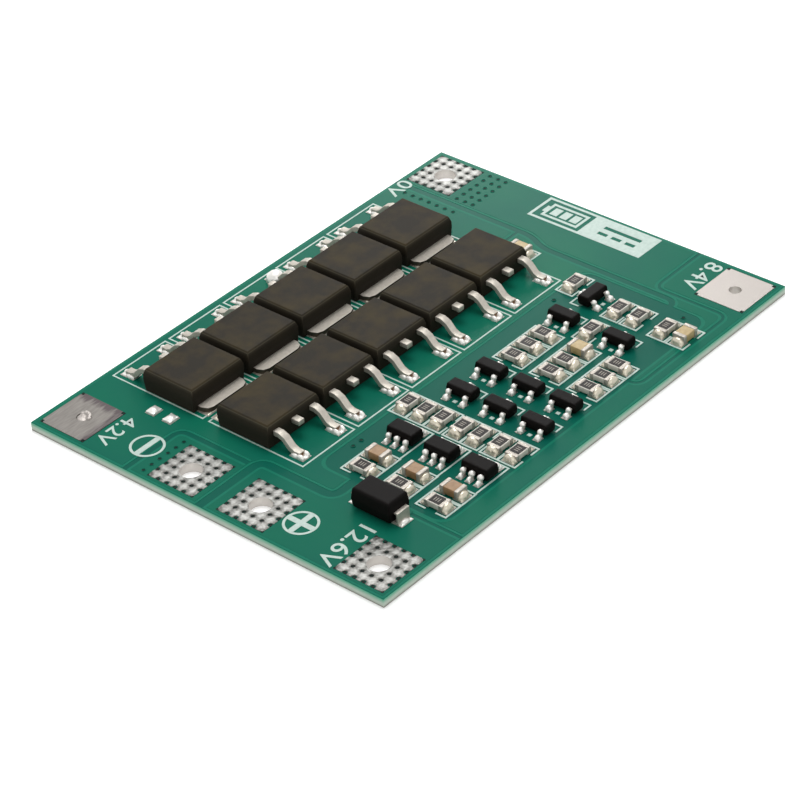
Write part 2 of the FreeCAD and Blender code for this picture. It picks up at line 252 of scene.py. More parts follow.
def opened(piece, shapes, **settings):
    """Cuts several shapes out of a piece."""
    cutter = joined(shapes, "cutter")
    apply(piece, "BOOLEAN", operation="DIFFERENCE", object=cutter, solver="EXACT", **settings)
    bpy.data.objects.remove(cutter)


def rest_on_root(piece, material):
    """Gives a finished piece its material and attaches it to the root body."""
    coat(piece, material)
    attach(piece, "root")


def rounded_slab(left, right, front, back, low, high, bend):
    """A flat plate whose upright edges are rounded."""
    made = slab(left, right, front, back, low, high)
    bpy.ops.object.mode_set(mode="EDIT")
    bpy.ops.mesh.select_all(action="DESELECT")
    mesh = bmesh.from_edit_mesh(made.data)
    for edge in mesh.edges:
        if abs(edge.verts[0].co.z - edge.verts[1].co.z) > (high - low) / 2 * MM:
            edge.select_set(True)
    bmesh.update_edit_mesh(made.data)
    bpy.ops.mesh.bevel(offset=bend * MM, segments=5)
    bpy.ops.object.mode_set(mode="OBJECT")
    return made


def named(start, end):
    """The names of the CAD nodes that start and end like this."""
    return sorted(n for n in nodes if n.startswith(start) and n.endswith(end))


def poured(name, top, spread):
    """A plate over the whole board, opened by the bands, the bare region and the terminals. Its outlines are
    drawn back from those of the copper by half of spread."""
    cuts = [rod(path, width + spread, band_bend, top) for path, width in bands]
    left, right, front, back = bare_region
    grown = spread / 2
    low, high = board_top - cutter_reach, board_top + cutter_reach
    cuts.append(rounded_slab(left - grown, right + grown, front - grown, back + grown,
                             low, high, bare_region_bend))
    for terminal in named("cell", "_terminal") + named("load", "_terminal"):
        land_low, land_high = limits(terminal)
        cuts.append(slab(land_low.x - terminal_margin, land_high.x + terminal_margin,
                         land_low.y - terminal_margin, land_high.y + terminal_margin, low, high))
    inset = pour_inset + grown
    plate = slab(board_low.x + inset, board_high.x - inset, board_low.y + inset, board_high.y - inset,
                 board_top, top)
    plate.name = plate.data.name = name
    opened(plate, cuts, use_self=True)
    return plate


rims = poured("copper_pour_rims", board_top + rim_height, 0)
pours = poured("copper_pours", pour_top, 2 * rim_width)


def grained(name, dark, light, grain, roughness, metallic=0.0, relief=0.01, specular=0.5):
    """A material whose two tones and fine relief follow one grain. Sizes are in millimetres."""
    made, tree, shader = surface(name, light, roughness, metallic, specular)
    places = node(tree, "TexCoord", {}).outputs["Object"]
    grains = node(tree, "TexNoise", {"Vector": places, "Scale": 1 / (grain * MM), "Detail": 4})
    tone = node(tree, "Mix", {0: grains, 6: linear(dark), 7: linear(light)}, data_type="RGBA")
    bump = node(tree, "Bump", {"Height": grains, "Strength": 0.3, "Distance": relief * MM})
    feed(tree, shader, {"Base Color": tone, "Normal": bump})
    return made, tree, shader, tone


# The mask over copper is lighter than over bare laminate, since the metal throws light back through it, and
# it ripples a little where it flowed. On the edge of the copper it ran thin, which shows as a paler line.
copper_cloud_size = 12
ripple_size = 0.9
ripple_depth = 0.012
mask_on_copper, tree, shader = surface("solder mask on copper", "#0C6B57", 0.36, specular=0.05)
places = node(tree, "TexCoord", {}).outputs["Object"]
cloudy = node(tree, "TexNoise", {"Vector": places, "Scale": 1 / (copper_cloud_size * MM), "Detail": 3})
mask = node(tree, "Mix", {0: cloudy, 6: linear("#06594F"), 7: linear("#106F52")}, data_type="RGBA")
ripple = node(tree, "TexNoise", {"Vector": places, "Scale": 1 / (ripple_size * MM), "Detail": 3})
bump = node(tree, "Bump", {"Height": ripple, "Strength": 0.35, "Distance": ripple_depth * MM})
feed(tree, shader, {"Base Color": mask, "Normal": bump})
rest_on_root(pours, mask_on_copper)
thin_mask, *_ = grained("solder mask run thin on copper", "#116A55", "#17765F", 0.8, 0.4, specular=0.05)
rest_on_root(rims, thin_mask)

# Tented vias are small plated holes whose mouths the mask covers. It sinks into each in a dimple with a
# slightly raised ring, and the dimple is painted darker towards its floor as shade.
tented_radius = 0.23
tented_height = 0.03
dimple_rim = 0.08
dimple_depth = 0.026
dimple_floor, dimple_crest = 0.005, 0.022
row_by_load_minus = [(-27.1 + k, 7.47) for k in range(6)]
block_by_zero_volt = [(22.2 + k, y) for y in (13.64, 12.63, 11.68) for k in range(6)]
column_by_transistors = [(20.1, 12.4 + 1.01 * k) for k in range(7)]
single_vias = [(13.9, -4.8), (18.45, -16.06), (-13.83, -4.78), (-12.78, -4.78)]
tented_places = row_by_load_minus + block_by_zero_volt + column_by_transistors + single_vias


def dimple(x, y, radius, rim, low, high, depth):
    """A ring with a sunk middle: a low disc whose top is inset and pushed down."""
    made = begun(bpy.ops.mesh.primitive_cylinder_add, vertices=12, radius=radius * MM,
                 depth=(high - low) * MM, location=(x * MM, y * MM, (low + high) / 2 * MM))
    bpy.ops.object.mode_set(mode="EDIT")
    mesh = bmesh.from_edit_mesh(made.data)
    for face in mesh.faces:
        face.select_set(face.normal.z > 0.9)
    bmesh.update_edit_mesh(made.data)
    bpy.ops.mesh.inset(thickness=rim * MM)
    bpy.ops.transform.translate(value=(0, 0, -depth * MM))
    bpy.ops.object.mode_set(mode="OBJECT")
    return settle(made)


dimples = joined([dimple(x, y, tented_radius, dimple_rim, pour_top, pour_top + tented_height, dimple_depth)
                  for x, y in tented_places], "tented_vias")
mask_in_dimple, tree, shader = surface("solder mask sunk in a hole", "#063A30", 0.5, specular=0.05)
height = node(tree, "SeparateXYZ", {"Vector": node(tree, "TexCoord", {}).outputs["Object"]}).outputs["Z"]
risen = node(tree, "MapRange", {"Value": height, "From Min": (pour_top + dimple_floor) * MM,
                                "From Max": (pour_top + dimple_crest) * MM})
# Painted shade: the dimple's floor gets a darker green than its ring, by height
tone = node(tree, "Mix", {0: risen, 6: linear("#032A23"), 7: linear("#0E6A55")}, data_type="RGBA")
feed(tree, shader, {"Base Color": tone})
rest_on_root(dimples, mask_in_dimple)

# The legend is white epoxy ink, screened on the mask in lines about a fifth of a millimetre wide. It is
# matte, and so thin that a little of the green shows through.
ink_line = 0.2
ink_low = board_top + 0.01
ink_top = pour_top + 0.02
ink_step = 0.0015
ink_steps = 5
white_ink, *_ = grained("screened white epoxy ink", "#9FB8AE", "#CBD9D2", 0.35, 0.55)


def outlined(made, line):
    """Turns a flat piece in edit mode into a raised line of ink along its outline."""
    bpy.ops.mesh.inset(thickness=line * MM)
    bpy.ops.mesh.delete(type="FACE")
    bpy.ops.mesh.select_all(action="SELECT")
    bpy.ops.mesh.extrude_region_move(TRANSFORM_OT_translate={"value": (0, 0, (ink_top - ink_low) * MM)})
    bpy.ops.mesh.select_all(action="SELECT")
    bpy.ops.mesh.normals_make_consistent(inside=False)
    bpy.ops.object.mode_set(mode="OBJECT")
    return made


def printed_frame(x, y, width, depth, line=ink_line):
    """A rectangle printed as a line, about x, y."""
    made = begun(bpy.ops.mesh.primitive_plane_add, size=1, location=(x * MM, y * MM, ink_low * MM))
    bpy.ops.object.mode_set(mode="EDIT")
    bpy.ops.transform.resize(value=(width * MM, depth * MM, 1))
    return outlined(made, line)


def printed_bar(left, right, front, back):
    """A filled rectangle of ink."""
    return slab(left, right, front, back, ink_low, ink_top)


def repeated(piece, x, y, turn=0):
    """A copy of a piece with its own mesh, turned about Z and moved by x, y."""
    copy = piece.copy()
    copy.data = piece.data.copy()
    bpy.context.scene.collection.objects.link(copy)
    turned = Matrix.Rotation(math.radians(turn), 4, "Z")
    copy.matrix_world = Matrix.Translation((x * MM, y * MM, 0)) @ turned
    return settle(copy)


def middle_of(name):
    """The middle of a CAD node and its size, in millimetres."""
    low, high = limits(name)
    return (low + high) / 2, high - low


def turn_for(size):
    """The turn, in degrees, that fits a pattern to a chip or a case that is wider than long."""
    return 90 if size.x > size.y else 0


def solids_of(name):
    """The lowest and highest corner, in millimetres, of each separate solid in a CAD node."""
    mesh = nodes[name].data
    groups = []
    for face in mesh.polygons:
        corners = {tuple(round(c / MM, 3) for c in mesh.vertices[k].co) for k in face.vertices}
        apart = [group for group in groups if not group & corners]
        touching = [group for group in groups if group & corners]
        groups = apart + [corners.union(*touching)]
    return [(Vector(map(min, *group)), Vector(map(max, *group))) for group in groups]


ink = []

# Round each power transistor, from behind the middle of its tab to in front of its feet
frame_width, frame_depth, frame_start, frame_line = 6.8, 11.23, 4.2, 0.15
for name in named("mosfet", "_body"):
    middle, _ = middle_of(name)
    side = 1 if "back" in name else -1
    y = middle.y + side * (frame_depth / 2 - frame_start)
    ink.append(printed_frame(middle.x, y, frame_width, frame_depth, frame_line))

# Round each chip part, open at the middles of its long sides
chip_long, chip_short, chip_gap, chip_line = 3.45, 2.05, 1.1, 0.17
chip_frame = []
for side in (-1, 1):
    outer, inner = chip_long / 2, chip_gap / 2
    start, end = sorted((side * outer, side * (outer - chip_line)))
    chip_frame.append(printed_bar(start, end, -chip_short / 2, chip_short / 2))
    start, end = sorted((side * inner, side * (outer - chip_line)))
    chip_frame.append(printed_bar(start, end, -chip_short / 2, chip_line - chip_short / 2))
    chip_frame.append(printed_bar(start, end, chip_short / 2 - chip_line, chip_short / 2))
chip_frame = joined(chip_frame, "chip_frame")
for kind in ("resistor_bodies", "capacitor_bodies"):
    for low, high in solids_of(kind):
        middle = (low + high) / 2
        ink.append(repeated(chip_frame, middle.x, middle.y, turn_for(high - low)))
bpy.data.objects.remove(chip_frame)

# Neighbouring frames overlap, so each is a hair higher than the one before
for k, printed in enumerate(ink):
    printed.data.transform(Matrix.Translation((0, 0, ink_step * (k % ink_steps) * MM)))

# Beside each small transistor: a bracket on the side of its single lead, and a tick between its two leads
bracket_line = 0.16
bracket_start, bracket_end = 0.45, 1.46
bracket_gap, bracket_side = 0.5, 1.63
bracket_corner = bracket_end - bracket_line
tick_start, tick_end, tick_half = -1.35, -1.0, 0.2
bracket = joined([
    printed_bar(bracket_start, bracket_corner, bracket_side - bracket_line, bracket_side),
    printed_bar(bracket_start, bracket_corner, -bracket_side, bracket_line - bracket_side),
    printed_bar(bracket_corner, bracket_end, bracket_gap, bracket_side),
    printed_bar(bracket_corner, bracket_end, -bracket_side, -bracket_gap),
    printed_bar(tick_start, tick_end, -tick_half, tick_half),
], "bracket")
for name in named("transistor", "_body"):
    middle, size = middle_of(name)
    ink.append(repeated(bracket, middle.x, middle.y, turn_for(size)))
bpy.data.objects.remove(bracket)

# Along the front and the right of each protection circuit
angle_line = 0.16
angle_left, angle_right, angle_front, angle_back = 2.5, 1.98, 1.65, 1.5
for name in named("protection", "_body"):
    middle, _ = middle_of(name)
    end, start = middle.x + angle_right, middle.y - angle_front
    ink.append(printed_bar(middle.x - angle_left, end, start, start + angle_line))
    ink.append(printed_bar(end - angle_line, end, start + angle_line, middle.y + angle_back))


def printed_ring(x, y, outer, line):
    """A ring of ink about x, y."""
    made = begun(bpy.ops.mesh.primitive_circle_add, vertices=48, radius=outer * MM, fill_type="NGON",
                 location=(x * MM, y * MM, ink_low * MM))
    bpy.ops.object.mode_set(mode="EDIT")
    bpy.ops.mesh.select_all(action="SELECT")
    return outlined(made, line)


letter_weight = 0.006


def printed_text(words, left, right, front, back):
    """Lettering that fills these limits, read from the opposite side of the board."""
    made = begun(bpy.ops.object.text_add)
    made.data.body = words
    made.data.extrude = 0.5
    made.data.offset = letter_weight
    bpy.ops.object.convert(target="MESH")
    made = bpy.context.object
    low = Vector(map(min, *(v.co for v in made.data.vertices)))
    high = Vector(map(max, *(v.co for v in made.data.vertices)))
    stretch = ((right - left) / (high.x - low.x), (back - front) / (high.y - low.y), ink_top - ink_low)
    made.data.transform(Matrix.Translation(-(low + high) / 2))
    made.data.transform(Matrix.Diagonal([s * MM for s in stretch] + [1]))
    made.data.transform(Matrix.Rotation(math.pi, 4, "Z"))
    made.location = ((left + right) / 2 * MM, (front + back) / 2 * MM, (ink_low + ink_top) / 2 * MM)
    bpy.ops.object.mode_set(mode="EDIT")
    bpy.ops.mesh.select_all(action="SELECT")
    bpy.ops.mesh.remove_doubles(threshold=1e-7)
    bpy.ops.object.mode_set(mode="OBJECT")
    return made


# Polarity signs beside the load terminals, and the voltage at each cell terminal
sign_radius = 1.6
sign_ring = 0.24
sign_bar = 0.56
bar_reach = 1.36
minus_place = (-24.42, 9.64)
plus_place = (-24.53, -8.44)
for x, y in (minus_place, plus_place):
    ink.append(printed_ring(x, y, sign_radius, sign_ring))
    ink.append(printed_bar(x - bar_reach, x + bar_reach, y - sign_bar / 2, y + sign_bar / 2))
for side in (-1, 1):
    start, end = sorted((y + side * sign_bar / 2, y + side * bar_reach))
    ink.append(printed_bar(x - sign_bar / 2, x + sign_bar / 2, start, end))
for words, left, right, front, back in (
    ("4.2V", -26.6, -22.3, 12.55, 14.2),
    ("12.6V", -27.55, -21.64, -14.33, -12.53),
    ("8.4V", 22.6, 27.3, -14.3, -12.5),
    ("0V", 18.9, 21.8, 18.64, 20.25),
):
    ink.append(printed_text(words, left, right, front, back))

# The rating panel: an outlined half with a battery of three cells, and a filled half with the sign for
# direct current left open, which is a long stroke beside three dashes
panel_left, panel_right, panel_front, panel_middle, panel_back = 23.93, 27.62, -6.85, 0.3, 6.4
panel_line = 0.3
battery_width, battery_front, battery_back = 2.3, 1.05, 5.35
pole_half, pole_depth = 0.5, 0.3
cell_half, cell_front, cell_depth, cell_pitch = 0.6, 1.55, 0.85, 1.15
stroke_inner, stroke_outer, stroke_front, stroke_back = 0.3, 0.75, -5.4, -1.1
dash_length, dash_pitch = 1.1, 1.6
centre = (panel_left + panel_right) / 2
ink.append(printed_frame(centre, (panel_middle + panel_back) / 2,
                         panel_right - panel_left, panel_back - panel_middle, panel_line))
ink.append(printed_frame(centre, (battery_front + battery_back) / 2,
                         battery_width, battery_back - battery_front, panel_line))
ink.append(printed_bar(centre - pole_half, centre + pole_half, battery_back, battery_back + pole_depth))
for k in range(3):
    start = cell_front + cell_pitch * k
    ink.append(printed_bar(centre - cell_half, centre + cell_half, start, start + cell_depth))
filled = printed_bar(panel_left, panel_right, panel_front, panel_middle)
low, high = ink_low - cutter_reach, ink_top + cutter_reach
openings = [slab(centre + stroke_inner, centre + stroke_outer, stroke_front, stroke_back, low, high)]
for k in range(3):
    start = stroke_front + dash_pitch * k
    end = start + dash_length
    openings.append(slab(centre - stroke_outer, centre - stroke_inner, start, end, low, high))
opened(filled, openings)
ink.append(filled)
legend = joined(ink, "legend_ink")
rest_on_root(legend, white_ink)

# The terminal lands are copper squares, coated by dipping the board in molten tin and blowing it level. The
# tin is a soft, uneven mirror, drawn with a coarser grain than the real one, which wouldn't show.
tin_grain = 0.25
crown_low, crown_high = -1.1, 1.5
crown_weight = 0.45
tin_relief = 0.05


def levelled_tin(name, low_tone, high_tone, crowned):
    """Levelled tin, whose upright faces get a lighter tone than its top, as painted light. A crowned one is
    highest in the middle of each web between holes, painted brightest there as a highlight and darker towards
    the holes as shade; the piece's UV map gives the webs' places in steps of one hole."""
    made, tree, shader = surface(name, high_tone, 0.45, 0.85)
    places = node(tree, "TexCoord", {}).outputs
    fine = node(tree, "TexNoise", {"Vector": places["Object"], "Scale": 1 / (tin_grain * MM), "Detail": 3})
    height = fine
    if crowned:
        step = node(tree, "SeparateXYZ", {"Vector": places["UV"]}).outputs
        turns = [node(tree, "Math", {0: step[axis], 1: math.tau}, operation="MULTIPLY") for axis in "XY"]
        waves = [node(tree, "Math", {0: turn}, operation="COSINE") for turn in turns]
        both = node(tree, "Math", {0: waves[0], 1: waves[1]}, operation="ADD")
        crown = node(tree, "MapRange", {"Value": both, "From Min": crown_low, "From Max": crown_high})
        height = node(tree, "Math", {0: crown, 1: crown_weight, 2: fine}, operation="MULTIPLY_ADD")
    bright = 1.05 if crowned else 0.65
    # Painted highlight and shade: on a crowned land the tone follows the crown, brightest on each web and
    # darker towards the holes; the fine grain is a real mottle
    mottle_and_painted_crown = node(tree, "MapRange", {"Value": height, "From Min": 0.4, "From Max": bright})
    top = node(tree, "Mix", {0: mottle_and_painted_crown, 6: linear(low_tone), 7: linear(high_tone)}, data_type="RGBA")
    # Painted light: upright faces, such as the walls of the wire holes, get a lighter tone than the top,
    # against the shade that darkens them
    normal = node(tree, "NewGeometry", {}).outputs["Normal"]
    facing = node(tree, "SeparateXYZ", {"Vector": normal}).outputs["Z"]
    is_top = node(tree, "MapRange", {"Value": facing, "From Min": 0.1, "From Max": 0.5})
    skin = node(tree, "Mix", {0: is_top, 6: linear("#CFCBC6"), 7: top}, data_type="RGBA")
    bump = node(tree, "Bump", {"Height": height, "Strength": 0.5 if crowned else 0.15,
                               "Distance": tin_relief * MM})
    rough = node(tree, "MapRange", {"Value": fine, "To Min": 0.38, "To Max": 0.55})
    feed(tree, shader, {"Base Color": skin, "Normal": bump, "Roughness": rough})
    return made


bright_tin = levelled_tin("hot-air levelled tin", "#A7A19C", "#AAA49F", False)
dull_tin = levelled_tin("hot-air levelled tin on a perforated land", "#53524E", "#A5A5A1", True)
coat(nodes["cell_8v4_terminal"], bright_tin)
coat(nodes["solder_lands"], bright_tin)

# A perforated land: six rows of plated holes, of which the border's are open notches, round a wire hole
via_rows = 6
via_inset = 0.12
via_radius = 0.2
notch_radius = 0.24
corner_bend = 0.38
edge_bend = 0.055
wire_hole_radius = 1.05
via_sides, wire_hole_sides = 12, 40
barrel_wall = 0.08
barrel_step = 0.01


def round_hole(x, y, radius, sides):
    """A closed cylinder to cut a hole with."""
    return settle(begun(bpy.ops.mesh.primitive_cylinder_add, vertices=sides, radius=radius * MM,
                        depth=2 * cutter_reach * MM, location=(x * MM, y * MM, board_top * MM)))


def sleeve(radius, low, high, sides, wall):
    """An open tube about the origin, with its wall outside the radius."""
    made = settle(begun(bpy.ops.mesh.primitive_cylinder_add, vertices=sides, radius=radius * MM,
                        depth=(high - low) * MM, end_fill_type="NOTHING",
                        location=(0, 0, (low + high) / 2 * MM)))
    apply(made, "SOLIDIFY", thickness=wall * MM, offset=1)
    return made


power_terminals = ["cell_0v_terminal", "cell_12v6_terminal"] + named("load", "_terminal")
low, high = limits(power_terminals[0])
half = (high.x - low.x) / 2
pitch = (2 * half - 2 * via_inset) / (via_rows - 1)
steps = [-half + via_inset + k * pitch for k in range(via_rows)]
border = (0, via_rows - 1)
inner_vias, notches, corners = [], [], []
for row, u in enumerate(steps):
    for column, v in enumerate(steps):
        if row in border and column in border:
            corners.append((u, v))
        elif row in border or column in border:
            notches.append((u, v))
        elif max(abs(u), abs(v)) > wire_hole_radius:
            inner_vias.append((u, v))
perforated = rounded_slab(-half, half, -half, half, board_top, high.z, corner_bend)
holes = [round_hole(u, v, notch_radius, via_sides) for u, v in notches]
holes += [round_hole(u, v, via_radius, via_sides) for u, v in inner_vias]
holes.append(round_hole(0, 0, wire_hole_radius, wire_hole_sides))
opened(perforated, holes)
apply(perforated, "BEVEL", width=edge_bend * MM, segments=3, limit_method="ANGLE",
      angle_limit=math.radians(60))
bpy.ops.object.shade_smooth_by_angle(angle=math.radians(40))
barrel = sleeve(wire_hole_radius, 0, high.z - barrel_step, wire_hole_sides, barrel_wall)
bpy.ops.object.shade_smooth_by_angle(angle=math.radians(40))
perforated = joined([perforated, barrel], "perforated_land")
webs = perforated.data.uv_layers.active or perforated.data.uv_layers.new()
for loop in perforated.data.loops:
    place = perforated.data.vertices[loop.vertex_index].co / MM
    webs.data[loop.index].uv = (place.x / pitch, place.y / pitch)

# The mouths of the small holes: each is a shallow cup, dark because little light gets into so small a hole
mouth_sink = 0.02
corner_mouth, border_mouth, inner_mouth = 0.14, 0.15, via_radius + 0.02
corner_mouth_out = 1.02


def mouth(x, y, radius, top, rim=0.04):
    """A shallow cup with its brim at this height over the board."""
    return dimple(x, y, radius, rim, board_top - mouth_sink, board_top + top, mouth_sink)


mouths = [mouth(u * corner_mouth_out, v * corner_mouth_out, corner_mouth, top=0.05) for u, v in corners]
mouths += [mouth(u, v, border_mouth, top=0.05) for u, v in notches]
mouths += [mouth(u, v, inner_mouth, top=0.03, rim=0.05) for u, v in inner_vias]
mouths = joined(mouths, "via_mouths")
shadowed_tin, *_ = grained("tin inside a small plated hole", "#111916", "#202A26", 0.1, 0.6, specular=0.1)
lined = []
for name in power_terminals:
    middle, _ = middle_of(name)
    land = repeated(perforated, middle.x, middle.y)
    land.name = land.data.name = name + "_finished"
    rest_on_root(land, dull_tin)
    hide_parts(name)
    lined.append(repeated(mouths, middle.x, middle.y))
bpy.data.objects.remove(perforated)
bpy.data.objects.remove(mouths)
sense_via_inset = 0.1
for name in ("cell_4v2_terminal", "cell_8v4_terminal"):
    low, high = limits(name)
    lined += [mouth(x, y, corner_mouth, top=0.06)
              for x in (low.x + sense_via_inset, high.x - sense_via_inset)
              for y in (low.y + sense_via_inset, high.y - sense_via_inset)]
rest_on_root(joined(lined, "small_hole_mouths"), shadowed_tin)

# One cell land was wiped while its tin was hot, and has dulled to grey, with streaks across it. Tarnish
# darkens it in blotches along its right and front sides.
streak_size, streak_turn, streak_depth = 0.5, math.radians(28), 0.03
blotch_size = 0.9
stain_from_right, stain_from_front = 0.9, 1.3
wiped_tin, tree, shader = surface("wiped and tarnished tin", "#8C8882", 0.5, 0.85)
places = node(tree, "TexCoord", {}).outputs["Object"]
drawn = node(tree, "Mapping", {"Vector": places, "Scale": (0.35, 2.2, 1), "Rotation": (0, 0, streak_turn)})
streaks = node(tree, "TexNoise", {"Vector": drawn, "Scale": 1 / (streak_size * MM), "Detail": 5})
tone = node(tree, "Mix", {0: streaks, 6: linear("#5C5854"), 7: linear("#8F8B86")}, data_type="RGBA")
land, size = middle_of("cell_4v2_terminal")
place = node(tree, "SeparateXYZ", {"Vector": places}).outputs
right_side = node(tree, "MapRange", {"Value": place["X"], "From Min": (land.x + stain_from_right) * MM,
                                     "From Max": (land.x + size.x / 2) * MM})
front_side = node(tree, "MapRange", {"Value": place["Y"], "From Min": (land.y - stain_from_front) * MM,
                                     "From Max": (land.y - size.y / 2) * MM})
sides = node(tree, "Math", {0: right_side, 1: front_side}, operation="MAXIMUM")
blotch = node(tree, "TexNoise", {"Vector": drawn, "Scale": 1 / (blotch_size * MM), "Detail": 4})
both = node(tree, "Math", {0: sides, 1: blotch}, operation="MULTIPLY")
stained = node(tree, "MapRange", {"Value": both, "From Min": 0.22, "From Max": 0.42, "To Max": 0.85})
metal = node(tree, "Mix", {0: stained, 6: tone, 7: linear("#4A4144")}, data_type="RGBA")
bump = node(tree, "Bump", {"Height": streaks, "Strength": 0.5, "Distance": streak_depth * MM})
feed(tree, shader, {"Base Color": metal, "Normal": bump})
coat(nodes["cell_4v2_terminal"], wiped_tin)

# The power transistors are moulded in black epoxy full of ground glass, round a copper tab and leads that are
# cut from a tinned frame and formed down to the board. The epoxy is a matte charcoal, with its tooth drawn
# coarser than the real one. Flux has stained the tops brown, and the edges are painted pale as a highlight.
stain_size = 2.2
moulded_epoxy, tree, shader, tone = grained("glass-filled moulding epoxy", "#211E18", "#2D2820", 0.12, 0.6,
                                            specular=0.1)
places = node(tree, "TexCoord", {}).outputs["Object"]
stains = node(tree, "TexNoise", {"Vector": places, "Scale": 1 / (stain_size * MM), "Detail": 6})
patchy = node(tree, "MapRange", {"Value": stains, "From Min": 0.4, "From Max": 0.65, "To Max": 0.6})
facing = node(tree, "SeparateXYZ", {"Vector": node(tree, "NewGeometry", {}).outputs["Normal"]}).outputs["Z"]
on_top = node(tree, "Math", {0: facing, 1: patchy}, operation="MULTIPLY", use_clamp=True)
worn = node(tree, "Mix", {0: on_top, 6: tone, 7: linear("#423820")}, data_type="RGBA")
# Painted highlight: faces that tilt between upward and sideways, along the top edges, are mixed towards a
# pale tone
tilt = node(tree, "Math", {0: facing, 1: 0.5}, operation="PINGPONG")
corner = node(tree, "MapRange", {"Value": tilt, "From Min": 0.22, "From Max": 0.5, "To Max": 0.5})
edge_highlight = node(tree, "Mix", {0: corner, 6: worn, 7: linear("#6A6454")}, data_type="RGBA")
feed(tree, shader, {"Base Color": edge_highlight})

# Matte tin is a soft grey satin. Where the frame was cut through after plating, the toes show bare copper
# that the heat browned. The tabs' sides, cut bare, are painted a dull grey brown that also stands in for the
# shade on them.
front_case, _ = middle_of("mosfet_front_1_body")
back_case, _ = middle_of("mosfet_back_1_body")
row_middle = (front_case.y + back_case.y) / 2
tab_zone = (back_case.y - front_case.y) / 2
toe_reach = 9.8
toe_top = 1.36
power_lead_tin, tree, shader, tone = grained("matte tin on power leads", "#A6A096", "#C9C3B8", 0.3, 0.5,
                                             0.6, relief=0.02)
place = node(tree, "SeparateXYZ", {"Vector": node(tree, "TexCoord", {}).outputs["Object"]}).outputs
normal = node(tree, "SeparateXYZ", {"Vector": node(tree, "NewGeometry", {}).outputs["Normal"]}).outputs
from_middle = node(tree, "Math", {0: place["Y"], 1: row_middle * MM}, operation="SUBTRACT")
outward = node(tree, "Math", {0: normal["Y"], 1: from_middle}, operation="MULTIPLY")
is_toe = node(tree, "Math", {0: outward, 1: toe_reach * MM}, operation="GREATER_THAN")
is_low = node(tree, "Math", {0: place["Z"], 1: toe_top * MM}, operation="LESS_THAN")
is_cut = node(tree, "Math", {0: is_toe, 1: is_low}, operation="MULTIPLY")
metal = node(tree, "Mix", {0: is_cut, 6: tone, 7: linear("#7E5F45")}, data_type="RGBA")
# Painted shade over the bare sheared metal: the tabs' faces that don't face up get a dark grey brown
inward = node(tree, "Math", {0: from_middle}, operation="ABSOLUTE")
by_tab = node(tree, "Math", {0: inward, 1: tab_zone * MM}, operation="LESS_THAN")
level = node(tree, "MapRange", {"Value": normal["Z"], "From Min": 0.5, "From Max": 0.9, "To Min": 1.0,
                                "To Max": 0.0})
shaded_tab_sides = node(tree, "Math", {0: by_tab, 1: level}, operation="MULTIPLY")
metal = node(tree, "Mix", {0: shaded_tab_sides, 6: metal, 7: linear("#4B443A")}, data_type="RGBA")
feed(tree, shader, {"Base Color": metal})


def softened(name, radius, material):
    """A copy of a CAD node with rounded edges, shown in its place."""
    pick(nodes[name])
    bpy.ops.object.duplicate()
    made = bpy.context.object
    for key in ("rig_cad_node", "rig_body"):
        del made[key]
    made.name = made.data.name = name + "_finished"
    bpy.ops.object.mode_set(mode="EDIT")
    bpy.ops.mesh.select_all(action="SELECT")
    bpy.ops.mesh.remove_doubles(threshold=1e-6)
    bpy.ops.mesh.dissolve_limited(angle_limit=math.radians(1))
    bpy.ops.object.mode_set(mode="OBJECT")
    apply(made, "BEVEL", width=radius * MM, segments=2, limit_method="ANGLE", angle_limit=math.radians(25))
    bpy.ops.object.shade_smooth()
    apply(made, "WEIGHTED_NORMAL", keep_sharp=False)
    rest_on_root(made, material)
    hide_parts(name)
    return made


power_edge = 0.05
for body, leads in zip(named("mosfet", "_body"), named("mosfet", "_leads")):
    softened(body, power_edge, moulded_epoxy)
    softened(leads, power_edge, power_lead_tin)

# The small transistors, the protection circuits and the diode are moulded the same way. Their epoxy is
# blacker and smoother, with well rounded edges, and their leads are plain matte tin.
small_lead_tin, *_ = grained("matte tin on small leads", "#A6A096", "#C9C3B8", 0.3, 0.5, 0.6, relief=0.02)
black_epoxy, *_ = grained("black moulding epoxy", "#0B0908", "#110D0C", 0.09, 0.5, specular=0.06)
small_case_edge, small_lead_edge = 0.05, 0.03
case_voxel = 0.055
for kind in ("diode", "protection", "transistor"):
    for body, leads in zip(named(kind, "_body"), named(kind, "_leads")):
        case = softened(body, small_case_edge, black_epoxy)
        apply(case, "REMESH", mode="VOXEL", voxel_size=case_voxel * MM)
        apply(case, "SMOOTH", factor=0.5, iterations=9)
        bpy.ops.object.shade_smooth()
        softened(leads, small_lead_edge, small_lead_tin)

# Chip resistors are white alumina with a black glassed face and a printed code, here three pale strokes. The
# alumina is matte, the glass glossy, and the plating that wraps round the ends a satin, uneven grey.
chip_end_plating, *_ = grained("plated tin on chip ends", "#9F988E", "#BDB7AF", 0.25, 0.5, 0.7, relief=0.02)
white_alumina, *_ = grained("white alumina", "#C5C1B5", "#D9D5CB", 0.15, 0.5)
alumina_edge = 0.03
softened("resistor_bodies", alumina_edge, white_alumina)
glass_length, glass_width, glass_edge = 1.16, 1.04, 0.02
glass_low, glass_high = -0.02, 0.025
stroke_width, stroke_length, stroke_pitch = 0.1, 0.48, 0.24
stroke_low, stroke_high, stroke_edge = glass_high - 0.01, glass_high + 0.004, 0.004
glass_pad = slab(-glass_length / 2, glass_length / 2, -glass_width / 2, glass_width / 2,
                 glass_low, glass_high)
apply(glass_pad, "BEVEL", width=glass_edge * MM, segments=2, limit_method="ANGLE")
strokes = joined([slab(u - stroke_width / 2, u + stroke_width / 2, -stroke_length / 2, stroke_length / 2,
                       stroke_low, stroke_high) for u in (-stroke_pitch, 0, stroke_pitch)], "strokes")
apply(strokes, "BEVEL", width=stroke_edge * MM, segments=1, limit_method="ANGLE")
pads, marks = [], []
